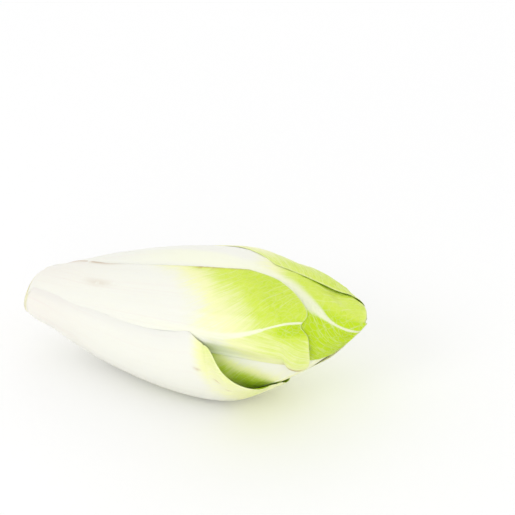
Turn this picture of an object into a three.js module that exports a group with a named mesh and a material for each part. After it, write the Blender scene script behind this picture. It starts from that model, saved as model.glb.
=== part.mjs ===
// Belgian endive: one forced chicory head as cut from its root, lying on its side.
// Millimetres, +Z up. The head runs along X with the cut base at -X and the leaf tips at +X.
// It rests on z = 0, and the origin is under the middle of its box.
//
// A head is a short stem inside a bud of overlapping cupped leaves. Every leaf is a closed thin shell
// that is laid over the leaves beneath it, from the heart outwards. The place of a point in the head
// is given by three numbers: the share t of the way along the bud's outline from base to tip, the
// bearing round the axis, and the depth, which is 0 on the axis and 1 on the bud's nominal outline.
import * as THREE from "three";

// The bud's nominal outline.
const HEAD_LENGTH = 150; // cut base to the leaf tips
const POLE = HEAD_LENGTH + 4; // where the outline closes on the axis
const BELLY_RADIUS = 33.6;
const BELLY_AT = 90; // distance of the widest place from the cut base
const BASE_SHARE = 0.28; // radius at the base as a share of the belly's
const SLENDERNESS = 1.15; // how late the outline swells from the base to the belly
const SHOULDER_CUT = 0.35; // how much the outline rounds in at the cut
const SHOULDER_LENGTH = 4;
const TIP_FULLNESS = 1.6;
const TIP_BLUNTNESS = 0.9;

// Near the tip the leaves are stacked along lines that lean forward, so that they close over the end.
const LEAN_FROM = 60;
const LEAN = 18;

// The stem.
const STEM_RADIUS = 6.5;
const STEM_LENGTH = 40;
const STEM_SIDES = 20;
const STEM_RINGS = 8;

// The way the head was cut and the way it lies.
const CUT_SLANT = 0.32; // rise of the cut plane per millimetre across it
const CUT_TOWARDS = 118; // bearing of the side that is cut furthest up
const CUT_FADE = 13; // distance from the cut over which its slant dies away
const NOSE_UP = 5.4; // degrees
const BOWED_FROM = 80; // distance from the base at which both ends begin to curve up
const BASE_RISE = 2.4;
const TIP_RISE = 8;
const SINK = 1.2; // how far the belly is pressed flat by the head's weight

// The leaves' blades and ribs. oldest and youngest are the outermost leaf and the innermost.
const GAP = 0.45; // between one leaf and the next
const LEAST_BLADE = 0.65;
const BLADE = { oldest: 1.3, youngest: 0.9, tip: 0.75 }; // thickness at the foot, then at the tip
const EDGE_THINNING = 0.15;
const RIB = { oldest: 1.8, youngest: 0.7, tip: 0.3 }; // thickness on top of the blade's
const RIB_WIDTH = { foot: 9, tip: 2.5 };
const ROOT_WIDTH = { oldest: 9, youngest: 5 };
const ROOMY_RADIUS = 22; // where the head is narrower than this its leaves crowd and grow thinner
const NARROWEST_RADIUS = 11; // below it a leaf's width no longer wraps further round
const WIDEST_WRAP = 2.65; // radians on either side of the rib
const CLEFT_WIDTH = 0.12; // as a share of the leaf's half width
const FLARE = 0.9; // how far the margin turns out
const WAVES = 0.45; // height of the margin's waves

// How deep the leaves lie where nothing pushes them out.
const OUTER_LEVEL = 0.93;
const OUTER_STEP = 0.015;
const INNER_LEVEL = 0.75;
const INNER_STEP = 0.09;

// The inner leaves, by their place in the growth spiral. Roots, tips and widest places are
// distances from the cut base.
const INNER_LEAVES = 8;
const GOLDEN = 137.5; // degrees between one leaf and the next
const INNER_DRIFT = 20;
const INNER_WIDTH = { oldest: 32, youngest: 13 };
const INNER_WIDEST_AT = 88;
const INNER_ROOT = { oldest: 11, youngest: 35 };
const INNER_TIP = { oldest: 151, youngest: 123 };

// Facets of a leaf: cells across, from foot to widest place, and from there to the tip.
const OUTER_CELLS = [14, 8, 7];
const INNER_CELLS = [10, 6, 5];

// The map of what has been laid: rows along the outline, columns round the axis.
const ROWS = 124;
const COLUMNS = 180;
const STIFFNESS = 4; // distance over which a leaf bridges the steps beneath it
const STIFF_ROWS = 3;
const EASE = 0.02; // depth over which a leaf's own level eases into its bed
const FINENESS = 16; // points looked at along each side of a leaf's facets

const radians = THREE.MathUtils.degToRad;
const smoothstep = THREE.MathUtils.smoothstep;
const lerp = THREE.MathUtils.lerp;
const clamp = THREE.MathUtils.clamp;

// Radius of the nominal outline at a distance from the base.
function outlineRadius(x) {
  if (x < BELLY_AT) {
    const swell = Math.sin((Math.PI / 2) * (x / BELLY_AT)) ** SLENDERNESS;
    const shoulder = 1 - SHOULDER_CUT * Math.exp(-x / SHOULDER_LENGTH);
    return BELLY_RADIUS * lerp(BASE_SHARE, 1, swell) * shoulder;
  }
  const z = clamp((x - BELLY_AT) / (POLE - BELLY_AT), 0, 1);
  return BELLY_RADIUS * Math.pow(1 - Math.pow(z, TIP_FULLNESS), TIP_BLUNTNESS);
}

// The outline as stations evenly spaced along it, each with the foot of its line of stacking on
// the axis.
function traceOutline() {
  const fine = 4000; // steps of the trace
  const points = [];
  let length = 0;
  for (let i = 0; i <= fine; i++) {
    const x = POLE * Math.sin((Math.PI / 2) * (i / fine));
    const r = outlineRadius(x);
    if (i > 0) length += Math.hypot(x - points[i - 1].x, r - points[i - 1].r);
    points.push({ x, r, length });
  }
  const stations = [];
  let at = 0;
  for (let row = 0; row < ROWS; row++) {
    const wanted = (length * row) / (ROWS - 1);
    while (at < fine - 1 && points[at + 1].length < wanted) at++;
    const a = points[at];
    const b = points[at + 1];
    const f = (wanted - a.length) / (b.length - a.length);
    const x = lerp(a.x, b.x, f);
    const r = lerp(a.r, b.r, f);
    const z = Math.max(0, (x - LEAN_FROM) / (POLE - LEAN_FROM));
    const foot = x - LEAN * z * z;
    stations.push({ x, r, foot, reach: Math.hypot(x - foot, r) });
  }
  return stations;
}

const stations = traceOutline();

// A value of the stations, interpolated at the share t.
function along(t, key) {
  const place = clamp(t, 0, 1) * (ROWS - 1);
  const i = Math.min(ROWS - 2, Math.floor(place));
  return lerp(stations[i][key], stations[i + 1][key], place - i);
}

// The share t at a distance from the base.
function shareAt(x) {
  let row = 0;
  while (row < ROWS - 2 && stations[row + 1].x < x) row++;
  const a = stations[row].x;
  const b = stations[row + 1].x;
  return (row + clamp((x - a) / (b - a), 0, 1)) / (ROWS - 1);
}

function stemRadius(x) {
  return x < STEM_LENGTH ? STEM_RADIUS * Math.sqrt(1 - (x / STEM_LENGTH) ** 2) : 0;
}

// How far the head's axis has curved up at a distance from the base.
function bow(x) {
  if (x < BOWED_FROM) return BASE_RISE * (1 - x / BOWED_FROM) ** 2;
  return TIP_RISE * ((x - BOWED_FROM) / (HEAD_LENGTH - BOWED_FROM)) ** 2;
}

// A point of the head in its own frame, turned into the frame in which it lies.
function lay(x, bearing, radius) {
  const across = -radius * Math.cos(bearing);
  const up = radius * Math.sin(bearing);
  const aside = radius * Math.cos(bearing - radians(CUT_TOWARDS));
  const cut = x + CUT_SLANT * aside * Math.exp(-Math.max(0, x) / CUT_FADE);
  const point = new THREE.Vector3(cut, across, up + bow(x));
  return point.applyAxisAngle(new THREE.Vector3(0, -1, 0), radians(NOSE_UP));
}

function placeInHead(t, bearing, depth) {
  const foot = along(t, "foot");
  return lay(foot + depth * (along(t, "x") - foot), bearing, depth * along(t, "r"));
}

// The map of the outside of everything laid so far, as depths.
const laid = new Float64Array(ROWS * COLUMNS);

// Slides a window over one line of values; pick is the largest value, or a smooth average.
function windowed(values, reach, pick, wrap) {
  const count = values.length;
  return values.map((_, i) => {
    let total = 0;
    let weight = 0;
    for (let k = -reach; k <= reach; k++) {
      const j = wrap ? (i + k + count) % count : clamp(i + k, 0, count - 1);
      if (pick === "largest") {
        total = Math.max(total, values[j]);
      } else {
        const w = 1 + Math.cos((Math.PI * k) / (reach + 1));
        total += w * values[j];
        weight += w;
      }
    }
    return pick === "largest" ? total : total / weight;
  });
}

// A smooth sheet that lies on everything laid so far and never cuts into it.
function bedSheet() {
  let sheet = Float64Array.from(laid);
  for (const pick of ["largest", "average"]) {
    for (let row = 0; row < ROWS; row++) {
      const cell = (2 * Math.PI * Math.max(stations[row].r, 1)) / COLUMNS;
      const reach = clamp(Math.round(STIFFNESS / cell), 1, COLUMNS / 5);
      const line = sheet.slice(row * COLUMNS, (row + 1) * COLUMNS);
      sheet.set(windowed(line, reach, pick, true), row * COLUMNS);
    }
    for (let column = 0; column < COLUMNS; column++) {
      const line = new Float64Array(ROWS);
      for (let row = 0; row < ROWS; row++) line[row] = sheet[row * COLUMNS + column];
      windowed(line, STIFF_ROWS, pick, false).forEach((v, row) => (sheet[row * COLUMNS + column] = v));
    }
  }
  return sheet;
}

function readMap(map, t, bearing) {
  const row = clamp(t, 0, 1) * (ROWS - 1);
  const i = Math.min(ROWS - 2, Math.floor(row));
  const turn = (((bearing / (2 * Math.PI)) % 1) + 1) % 1;
  const column = turn * COLUMNS;
  const j = Math.floor(column) % COLUMNS;
  const next = (j + 1) % COLUMNS;
  const f = column - Math.floor(column);
  const near = lerp(map[i * COLUMNS + j], map[i * COLUMNS + next], f);
  const far = lerp(map[(i + 1) * COLUMNS + j], map[(i + 1) * COLUMNS + next], f);
  return lerp(near, far, row - i);
}

function softMax(a, b) {
  return (a + b + Math.hypot(a - b, EASE)) / 2;
}

// One half of a leaf: its half width, how far from the cut base it is widest, how square its end
// is, and how late it widens on the way up from the foot.
function half(width, wide, square = 2.2, slowness = 0.6) {
  return { width, wide, square, slowness };
}

// A leaf, outer or inner. bearing is the rib's place round the head in degrees (0 faces -Y, 90 faces
// up), and drift is how far the tip has turned from it. root and tip are distances from the cut
// base. low and high are the halves on either side of the rib. lift raises the high half's margin
// off the head, and cleft is a nick in the tip.
function leaf(bearing, drift, root, tip, low, high, { lift = 0, cleft = 0 } = {}) {
  return { bearing, drift, root, tip, low, high, lift, cleft };
}

// The leaves that show, from the outermost in.
const outerLeaves = [
  leaf(-62, 0, 2, 118, half(36, 74), half(40, 94, 1.6), { lift: 8 }),
  leaf(168, 0, 0, 151, half(31, 112, 1.15, 1), half(34, 92, 1.6)),
  leaf(31, -8, 0, 133.5, half(22, 124, 3, 1.9), half(23.5, 105, 1.5), { cleft: 3 }),
  leaf(-122, 0, 3, 150, half(36, 88), half(20, 84, 1.8)),
  leaf(86, -56, 6, 151.5, half(29, 90, 2.6), half(32, 90, 2.6)),
  leaf(-50, 10, 9, 152, half(33, 90), half(33, 90)),
];

// The leaves inside them follow the growth spiral, each smaller and set higher on the stem.
function innerLeaves() {
  const made = [];
  let bearing = outerLeaves.at(-1).bearing;
  for (let i = 0; i < INNER_LEAVES; i++) {
    bearing -= GOLDEN;
    const youth = (i + 1) / INNER_LEAVES;
    const side = half(lerp(INNER_WIDTH.oldest, INNER_WIDTH.youngest, youth), INNER_WIDEST_AT);
    const root = lerp(INNER_ROOT.oldest, INNER_ROOT.youngest, youth);
    const tip = lerp(INNER_TIP.oldest, INNER_TIP.youngest, youth * youth);
    made.push(leaf(bearing, INNER_DRIFT, root, tip, side, side));
  }
  return made;
}

// The depth that a leaf keeps to where nothing beneath it pushes it further out.
function levelOf(order) {
  const inner = order - outerLeaves.length;
  return inner < 0 ? OUTER_LEVEL - OUTER_STEP * order : INNER_LEVEL - INNER_STEP * inner;
}

// The functions of one leaf over its own plane. There x is -1 on the low margin, 0 on the rib and 1
// on the high margin, and y is -1 at the foot, 0 at the widest place and 1 at the tip.
function describe(spec, order, count) {
  const level = levelOf(order);
  const youth = order / (count - 1); // 0 for the outermost leaf, 1 for the innermost
  const phase = 1.7 * order; // sets each leaf's waves apart from the next one's
  const rootWidth = lerp(ROOT_WIDTH.oldest, ROOT_WIDTH.youngest, youth);
  const side = (x) => (x < 0 ? spec.low : spec.high);
  return {
    level,
    square: (x) => side(x).square,
    // Share of the outline.
    share(x, y) {
      const wide = shareAt(lerp(spec.low.wide, spec.high.wide, smoothstep(x, -0.5, 0.5)));
      if (y < 0) return lerp(wide, shareAt(spec.root), -y);
      const nick = spec.cleft * Math.exp(-((x / CLEFT_WIDTH) ** 2)) * smoothstep(y, 0.5, 1);
      return lerp(wide, shareAt(spec.tip - nick), y);
    },
    rib(t) {
      return radians(spec.bearing + spec.drift * t ** 5);
    },
    // Angle round the head of the leaf's full half width.
    wrap(t, x, y) {
      const { width, slowness } = side(x);
      const grown = lerp(rootWidth, width, clamp(1 + y, 0, 1) ** slowness);
      const wavy = 1 + 0.015 * Math.sin(9 * y + phase + (x < 0 ? 2 : 0));
      const narrowest = NARROWEST_RADIUS * smoothstep(t, 0.2, 0.6);
      const radius = Math.max(along(t, "r"), narrowest) * Math.max(level, 0.15);
      return Math.min(WIDEST_WRAP, (grown * wavy) / radius);
    },
    // 1 on the leaf's edge, less within it.
    edge(x, y) {
      const n = side(x).square;
      return y > 0 ? (Math.abs(x) ** n + y ** n) ** (1 / n) : Math.abs(x);
    },
    thickness(t, x, y) {
      const age = clamp((y + 1) / 2, 0, 1); // 0 at the foot, 1 at the tip
      const ribHeight = lerp(lerp(RIB.oldest, RIB.youngest, youth), RIB.tip, age ** 0.8);
      const ribWidth = lerp(RIB_WIDTH.foot, RIB_WIDTH.tip, age);
      const fromRib = (Math.abs(x) * this.wrap(t, x, y) * along(t, "r") * level) / ribWidth;
      const thinned = EDGE_THINNING * smoothstep(this.edge(x, y), 0.6, 1);
      const blade = lerp(lerp(BLADE.oldest, BLADE.youngest, youth), BLADE.tip, age) - thinned;
      const tapered = spec.root > 0 ? smoothstep(y, -1.1, -0.8) : 1;
      const room = clamp(along(t, "r") / ROOMY_RADIUS, 0.45, 1) * tapered;
      return Math.max(LEAST_BLADE, room * (blade + ribHeight * Math.exp(-fromRib * fromRib)));
    },
    // How far the leaf stands off what it lies on.
    standOff(x, y) {
      const rim = smoothstep(this.edge(x, y), 0.72, 1) * smoothstep(y, -0.3, 0.5);
      const waves = WAVES * Math.sin(6 * Math.atan2(y + 0.4, x) + phase);
      const raised = spec.lift * smoothstep(x, 0, 0.9) * smoothstep(y, -0.6, 0.5);
      return rim * (FLARE * (1 - 0.5 * youth) + waves) + raised;
    },
  };
}

// Maps a point of a square grid onto the leaf's plane: straight sides to the widest place, then a
// rounded end.
function leafPlane(a, b, grown) {
  if (b <= 0) return [a, b];
  const x = a * Math.sqrt(1 - (b * b) / 2);
  const y = b * Math.sqrt(1 - (a * a) / 2);
  const size = Math.hypot(x, y);
  if (size < 1e-9) return [0, 0];
  const n = grown.square(x);
  const square = Math.pow(Math.pow(Math.abs(x / size), n) + Math.pow(y / size, n), -1 / n);
  return [x * square, y * square];
}

// How deep the leaf's inner face lies at a point, given the sheet of what is beneath it.
function bedDepth(grown, sheet, t, bearing) {
  const reach = along(t, "reach");
  const onLeaves = readMap(sheet, t, bearing) + GAP / reach;
  const onStem = (stemRadius(along(t, "foot")) + GAP) / reach;
  return Math.max(softMax(onLeaves, grown.level), onStem);
}

// The leaf as a grid of nodes, from foot to tip and from its low margin to its high one.
function layOut(grown, sheet, across, below, above) {
  const grid = { across, rows: below + above, nodes: [] };
  for (let j = 0; j <= grid.rows; j++) {
    const b = j < below ? j / below - 1 : (j - below) / above;
    for (let i = 0; i <= across; i++) {
      const [x, y] = leafPlane((2 * i) / across - 1, b, grown);
      const t = grown.share(x, y);
      const bearing = grown.rib(t) + x * grown.wrap(t, x, y);
      const reach = along(t, "reach");
      const inner = bedDepth(grown, sheet, t, bearing) + grown.standOff(x, y) / reach;
      grid.nodes.push({ t, bearing, inner, thick: grown.thickness(t, x, y) / reach });
    }
  }
  return grid;
}

// A point before the head is laid down, as distance along the axis and two across it.
function upright(t, bearing, depth) {
  const foot = along(t, "foot");
  const r = depth * along(t, "r");
  return [foot + depth * (along(t, "x") - foot), r * Math.cos(bearing), r * Math.sin(bearing)];
}

// Visits points all over the flat triangles between the nodes, with the triangle's depth there.
function overTriangles(grid, depthOf, visit) {
  const at = (i, j) => grid.nodes[j * (grid.across + 1) + i];
  for (let j = 0; j < grid.rows; j++) {
    for (let i = 0; i < grid.across; i++) {
      const corners = [at(i, j), at(i, j + 1), at(i + 1, j + 1), at(i + 1, j)];
      const points = corners.map((c) => upright(c.t, c.bearing, depthOf(c)));
      for (let k = 0; k < (FINENESS + 1) ** 2; k++) {
        const u = Math.floor(k / (FINENESS + 1)) / FINENESS;
        const v = (k % (FINENESS + 1)) / FINENESS;
        const weights = v >= u ? [1 - v, v - u, u, 0] : [1 - u, 0, v, u - v];
        const mix = (pick) => weights.reduce((sum, w, c) => sum + w * pick(c), 0);
        const [x, y, z] = [0, 1, 2].map((axis) => mix((c) => points[c][axis]));
        const t = mix((c) => corners[c].t);
        const depth = Math.hypot(x - along(t, "foot"), y, z) / along(t, "reach");
        visit(t, Math.atan2(z, y), depth, corners, weights);
      }
    }
  }
}

// Raises nodes until none of the triangles between them dips into what lies beneath.
function clearBed(grid) {
  for (let round = 0; round < 3; round++) {
    for (const node of grid.nodes) node.raise = 0;
    overTriangles(grid, (node) => node.inner, (t, bearing, depth, corners, weights) => {
      const short = readMap(laid, t, bearing) + GAP / along(t, "reach") - depth;
      corners.forEach((c, k) => {
        if (weights[k] > 0) c.raise = Math.max(c.raise, short);
      });
    });
    for (const node of grid.nodes) node.inner += node.raise;
  }
}

// Records the leaf's outside in the map of what has been laid.
function record(grid) {
  overTriangles(grid, (node) => node.inner + node.thick, (t, bearing, depth) => {
    const row = Math.round(clamp(t, 0, 1) * (ROWS - 1));
    const column = (Math.round((bearing / (2 * Math.PI)) * COLUMNS) + 2 * COLUMNS) % COLUMNS;
    const cell = row * COLUMNS + column;
    laid[cell] = Math.max(laid[cell], depth);
  });
}

// The closed shell of a leaf: an outer and an inner sheet of the same grid, joined round the rim.
function leafShell(grid) {
  const { across, rows, nodes } = grid;
  const outside = nodes.map((n) => placeInHead(n.t, n.bearing, n.inner + n.thick));
  const inside = nodes.map((n) => placeInHead(n.t, n.bearing, n.inner));
  const size = nodes.length;
  const at = (i, j) => j * (across + 1) + i;
  const faces = [];
  const quad = (a, b, c, d) => faces.push(a, b, c, a, c, d);
  for (let j = 0; j < rows; j++) {
    for (let i = 0; i < across; i++) {
      const [a, b, c, d] = [at(i, j), at(i, j + 1), at(i + 1, j + 1), at(i + 1, j)];
      quad(a, b, c, d);
      faces.push(size + a, size + c, size + b, size + a, size + d, size + c);
    }
  }
  const rim = [];
  for (let i = 0; i < across; i++) rim.push(at(i, 0));
  for (let j = 0; j < rows; j++) rim.push(at(across, j));
  for (let i = across; i > 0; i--) rim.push(at(i, rows));
  for (let j = rows; j > 0; j--) rim.push(at(0, j));
  rim.forEach((a, k) => {
    const b = rim[(k + 1) % rim.length];
    quad(a, b, size + b, size + a);
  });
  return meshGeometry([...outside, ...inside], faces);
}

function meshGeometry(points, faces) {
  const geometry = new THREE.BufferGeometry().setFromPoints(points);
  geometry.setIndex(faces);
  geometry.computeVertexNormals();
  return geometry;
}

// The stem: a lathe from the cut face to its growing point.
function stemSolid() {
  const profile = [new THREE.Vector2(0, 0)];
  for (let ring = 0; ring < STEM_RINGS; ring++) {
    const x = STEM_LENGTH * Math.sin((Math.PI / 2) * (ring / STEM_RINGS));
    profile.push(new THREE.Vector2(stemRadius(x), x));
  }
  profile.push(new THREE.Vector2(0, STEM_LENGTH));
  const lathe = new THREE.LatheGeometry(profile, STEM_SIDES);
  const corners = lathe.getAttribute("position");
  const points = [];
  for (let i = 0; i < corners.count; i++) {
    const [u, x, v] = [corners.getX(i), corners.getY(i), corners.getZ(i)];
    points.push(lay(x, Math.atan2(v, u), Math.hypot(u, v)));
  }
  return meshGeometry(points, [...lathe.index.array]);
}

const colours = {
  stem: new THREE.MeshStandardMaterial({ color: 0xf1ecc4, roughness: 0.6, metalness: 0 }),
  outer: new THREE.MeshStandardMaterial({ color: 0xeef2c8, roughness: 0.45, metalness: 0 }),
  inner: new THREE.MeshStandardMaterial({ color: 0xe3eb9a, roughness: 0.45, metalness: 0 }),
};

function named(name, geometry, material) {
  const mesh = new THREE.Mesh(geometry, material);
  mesh.name = name;
  return mesh;
}

// The head, from the heart outwards.
function growHead() {
  const head = [named("stem", stemSolid(), colours.stem)];
  const specs = [...outerLeaves, ...innerLeaves()];
  for (let order = specs.length - 1; order >= 0; order--) {
    const grown = describe(specs[order], order, specs.length);
    const sheet = bedSheet();
    const inner = order - outerLeaves.length;
    const grid = layOut(grown, sheet, ...(inner < 0 ? OUTER_CELLS : INNER_CELLS));
    clearBed(grid);
    record(grid);
    const name = inner < 0 ? `outer_leaf_${order + 1}` : `inner_leaf_${inner + 1}`;
    head.push(named(name, leafShell(grid), inner < 0 ? colours.outer : colours.inner));
  }
  return head;
}

// Presses the lowest part of the head flat on the surface, and puts the origin under the middle of
// its box.
function settle(head) {
  const group = new THREE.Group();
  group.add(...head);
  const box = new THREE.Box3().setFromObject(group);
  const floor = box.min.z + SINK;
  for (const mesh of head) {
    const place = mesh.geometry.getAttribute("position");
    for (let i = 0; i < place.count; i++) place.setZ(i, Math.max(0, place.getZ(i) - floor));
    mesh.geometry.translate(-(box.min.x + box.max.x) / 2, -(box.min.y + box.max.y) / 2, 0);
  }
  return group;
}

export default settle(growHead());
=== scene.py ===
"""The looks of one Belgian endive head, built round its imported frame.

The head is a bud of cupped leaves round a short stem. Every leaf is a closed thin shell that is
laid over the leaves beneath it, from the heart outwards. The place of a point in the head is given
by three numbers: the share t of the way along the bud's outline from base to tip, the bearing
round the axis, and the depth, which is 0 on the axis and 1 on the bud's nominal outline.
Lengths are in millimetres until a mesh is made, and in metres from there on.
"""

import logging
import math
from dataclasses import dataclass, field
from enum import Enum
from typing import Sequence

import bpy
import numpy as np
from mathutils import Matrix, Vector

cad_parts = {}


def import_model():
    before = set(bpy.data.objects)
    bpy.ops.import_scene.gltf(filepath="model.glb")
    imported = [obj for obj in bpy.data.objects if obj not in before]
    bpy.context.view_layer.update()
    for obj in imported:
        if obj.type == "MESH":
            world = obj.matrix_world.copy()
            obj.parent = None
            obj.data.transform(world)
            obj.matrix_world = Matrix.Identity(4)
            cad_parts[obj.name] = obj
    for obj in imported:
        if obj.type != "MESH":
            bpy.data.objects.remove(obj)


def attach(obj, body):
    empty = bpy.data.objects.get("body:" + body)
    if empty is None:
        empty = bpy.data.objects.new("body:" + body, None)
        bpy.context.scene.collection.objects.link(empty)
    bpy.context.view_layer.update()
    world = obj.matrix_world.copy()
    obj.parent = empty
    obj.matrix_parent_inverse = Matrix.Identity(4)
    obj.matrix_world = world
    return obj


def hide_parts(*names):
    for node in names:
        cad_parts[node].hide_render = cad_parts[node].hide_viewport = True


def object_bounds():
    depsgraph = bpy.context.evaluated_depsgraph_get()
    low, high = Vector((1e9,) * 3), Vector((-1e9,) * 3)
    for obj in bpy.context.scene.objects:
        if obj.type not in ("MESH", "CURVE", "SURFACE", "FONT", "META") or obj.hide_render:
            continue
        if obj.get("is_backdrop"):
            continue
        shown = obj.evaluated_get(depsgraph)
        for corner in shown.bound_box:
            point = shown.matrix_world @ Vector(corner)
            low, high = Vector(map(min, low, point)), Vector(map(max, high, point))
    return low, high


log = logging.getLogger("endive")

METRE = 0.001  # a millimetre in metres
ROOT = "root"

Array = np.ndarray


def lerp(a: float | Array, b: float | Array, share: float | Array) -> float | Array:
    """Returns the value at a share of the way from a to b."""
    return a + (b - a) * share


def smoothstep(x: float | Array, low: float, high: float) -> float | Array:
    """Returns 0 below low, 1 above high and a smooth rise between."""
    s = np.clip((x - low) / (high - low), 0.0, 1.0)
    return s * s * (3.0 - 2.0 * s)


def bump(x: float | Array, centre: float, width: float) -> float | Array:
    """Returns a bell that is 1 at its centre."""
    return np.exp(-(((x - centre) / width) ** 2))


def linear(red: int, green: int, blue: int) -> tuple[float, float, float, float]:
    """Turns a colour of 0 to 255 a channel, as a screen shows it, into the renderer's own values."""
    shares = (np.array([red, green, blue]) / 255.0 + 0.055) / 1.055
    return (*(float(s) for s in shares**2.4), 1.0)


@dataclass
class Outline:
    """The bud's nominal outline, as stations evenly spaced along it.

    Near the tip the leaves are stacked along lines that lean forward, so that they close over the
    end. foot is where such a line starts on the axis.
    """

    pole: float = 154.0
    belly_radius: float = 33.6
    belly_at: float = 90.0
    base_share: float = 0.28
    slenderness: float = 1.15
    shoulder_cut: float = 0.35
    shoulder_length: float = 4.0
    tip_fullness: float = 1.6
    tip_bluntness: float = 0.9
    lean_from: float = 60.0
    lean: float = 18.0
    rows: int = 124
    steps: int = 4000
    x: Array = field(init=False)
    r: Array = field(init=False)
    foot: Array = field(init=False)
    reach: Array = field(init=False)
    length: float = field(init=False)

    def __post_init__(self) -> None:
        """Traces the outline."""
        fine_x = self.pole * np.sin(math.pi / 2 * np.linspace(0, 1, self.steps + 1))
        fine_r = self.radius(fine_x)
        run = np.concatenate([[0.0], np.cumsum(np.hypot(np.diff(fine_x), np.diff(fine_r)))])
        wanted = np.linspace(0, run[-1], self.rows)
        self.length = float(run[-1])
        self.x = np.interp(wanted, run, fine_x)
        self.r = np.interp(wanted, run, fine_r)
        leaning = np.maximum(0, (self.x - self.lean_from) / (self.pole - self.lean_from))
        self.foot = self.x - self.lean * leaning**2
        self.reach = np.hypot(self.x - self.foot, self.r)

    def radius(self, x: Array) -> Array:
        """Returns the outline's radius at distances from the cut base."""
        swell = np.sin(math.pi / 2 * np.clip(x / self.belly_at, 0, 1)) ** self.slenderness
        shoulder = 1 - self.shoulder_cut * np.exp(-x / self.shoulder_length)
        below = self.belly_radius * lerp(self.base_share, 1, swell) * shoulder
        z = np.clip((x - self.belly_at) / (self.pole - self.belly_at), 0, 1)
        above = self.belly_radius * (1 - z**self.tip_fullness) ** self.tip_bluntness
        return np.where(x < self.belly_at, below, above)

    def along(self, t: Array, values: Array) -> Array:
        """Returns a value of the stations, interpolated at shares t."""
        return np.interp(np.clip(t, 0, 1) * (self.rows - 1), np.arange(self.rows), values)

    def share_at(self, x: float | Array) -> float | Array:
        """Returns the share t at a distance from the cut base."""
        return np.interp(x, self.x, np.linspace(0, 1, self.rows))

    def upright(self, t: Array, bearing: Array, depth: Array) -> Array:
        """Returns points before the head is laid down: along the axis and two across it."""
        foot = self.along(t, self.foot)
        r = depth * self.along(t, self.r)
        x = foot + depth * (self.along(t, self.x) - foot)
        return np.stack([x, r * np.cos(bearing), r * np.sin(bearing)], axis=-1)


@dataclass(frozen=True)
class Posture:
    """The way the head was cut and the way it lies."""

    cut_slant: float = 0.32
    cut_towards: float = 118.0
    cut_fade: float = 13.0
    nose_up: float = 5.4
    bowed_from: float = 80.0
    base_rise: float = 2.4
    tip_rise: float = 8.0
    head_length: float = 150.0
    sink: float = 1.2

    def bow(self, x: Array) -> Array:
        """Returns how far the head's axis has curved up at a distance from the base."""
        base = self.base_rise * (1 - x / self.bowed_from) ** 2
        tip = self.tip_rise * ((x - self.bowed_from) / (self.head_length - self.bowed_from)) ** 2
        return np.where(x < self.bowed_from, base, tip)

    def lay(self, points: Array) -> Array:
        """Turns upright points into the frame in which the head lies.

        Args:
            points: distance along the axis, and the two distances across it.

        Returns:
            The same points as x, y and z.
        """
        x, u, v = points[..., 0], points[..., 1], points[..., 2]
        towards = math.radians(self.cut_towards)
        aside = u * math.cos(towards) + v * math.sin(towards)
        cut = x + self.cut_slant * aside * np.exp(-np.maximum(0, x) / self.cut_fade)
        up = v + self.bow(x)
        turn = math.radians(self.nose_up)
        return np.stack([
            cut * math.cos(turn) - up * math.sin(turn),
            -u,
            cut * math.sin(turn) + up * math.cos(turn),
        ], axis=-1)


def slide(values: Array, reach: int, largest: bool, wrap: bool) -> Array:
    """Slides a window down the first axis of an array.

    Args:
        values: the array.
        reach: entries on either side of the middle one.
        largest: whether the largest value is kept, or else a smooth average.
        wrap: whether the last entry is next to the first.

    Returns:
        An array of the same shape.
    """
    spare = [(reach, reach)] + [(0, 0)] * (values.ndim - 1)
    padded = np.pad(values, spare, mode="wrap" if wrap else "edge")
    windows = np.lib.stride_tricks.sliding_window_view(padded, 2 * reach + 1, axis=0)
    if largest:
        return windows.max(axis=-1)
    weights = 1 + np.cos(math.pi * np.arange(-reach, reach + 1) / (reach + 1))
    return windows @ (weights / weights.sum())


@dataclass
class Bed:
    """The map of the outside of everything laid so far, as depths."""

    outline: Outline
    columns: int = 180
    stiffness: float = 4.0
    stiff_rows: int = 3
    laid: Array = field(init=False)

    def __post_init__(self) -> None:
        """Starts with nothing laid."""
        self.laid = np.zeros((self.outline.rows, self.columns))

    def sheet(self) -> Array:
        """Returns a smooth sheet that lies on everything laid so far."""
        made = self.laid.copy()
        for largest in (True, False):
            for row, radius in enumerate(self.outline.r):
                cell = 2 * math.pi * max(radius, 1) / self.columns
                reach = int(np.clip(math.floor(self.stiffness / cell + 0.5), 1, self.columns // 5))
                made[row] = slide(made[row], reach, largest, wrap=True)
            made = slide(made, self.stiff_rows, largest, wrap=False)
        return made

    def read(self, depths: Array, t: Array, bearing: Array) -> Array:
        """Returns a map's depths at places in the head."""
        row = np.clip(t, 0, 1) * (self.outline.rows - 1)
        i = np.minimum(self.outline.rows - 2, row.astype(int))
        column = (bearing / (2 * math.pi) % 1) * self.columns
        j = column.astype(int) % self.columns
        after = (j + 1) % self.columns
        f = column - np.floor(column)
        near = lerp(depths[i, j], depths[i, after], f)
        far = lerp(depths[i + 1, j], depths[i + 1, after], f)
        return lerp(near, far, row - i)

    def record(self, t: Array, bearing: Array, depth: Array) -> None:
        """Raises the map to the depths of the leaf that has just been laid."""
        row = np.floor(np.clip(t, 0, 1) * (self.outline.rows - 1) + 0.5).astype(int)
        turned = np.floor(bearing / (2 * math.pi) * self.columns + 0.5).astype(int)
        np.maximum.at(self.laid, (row, turned % self.columns), depth)


@dataclass(frozen=True)
class Half:
    """One half of a leaf, on one side of its rib."""

    width: float
    wide: float  # distance from the cut base at which it is widest
    square: float = 2.2  # how square its end is
    slowness: float = 0.6  # how late it widens on the way up from the foot


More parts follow.
